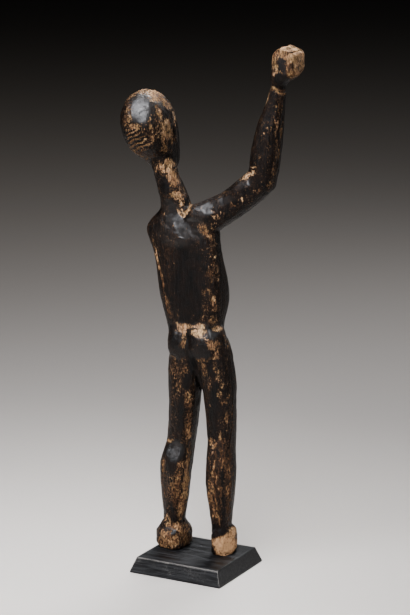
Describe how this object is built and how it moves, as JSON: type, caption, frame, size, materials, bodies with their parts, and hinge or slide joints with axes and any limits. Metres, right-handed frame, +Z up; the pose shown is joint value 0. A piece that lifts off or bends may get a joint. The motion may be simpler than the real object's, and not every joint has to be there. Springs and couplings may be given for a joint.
{
  "type": "bateba figure",
  "caption": "Carved wooden standing figure with a raised right arm and closed fist, head turned up on a long leaning neck, on a low black painted base.",
  "frame": {"origin": "centre of the base's underside", "axes": "+Z up, the figure faces -Y, its raised right arm is on -X"},
  "size_m": [0.1991, 0.1095, 0.6005],
  "materials": {
    "carved_wood": "dark glossy patina, worn through to tan wood on edges and creases",
    "painted_wood": "satin black paint, brushed, lightly worn on the edges"
  },
  "bodies": {
    "root": {"figure": "carved_wood", "base": "painted_wood"}
  },
  "joints": []
}
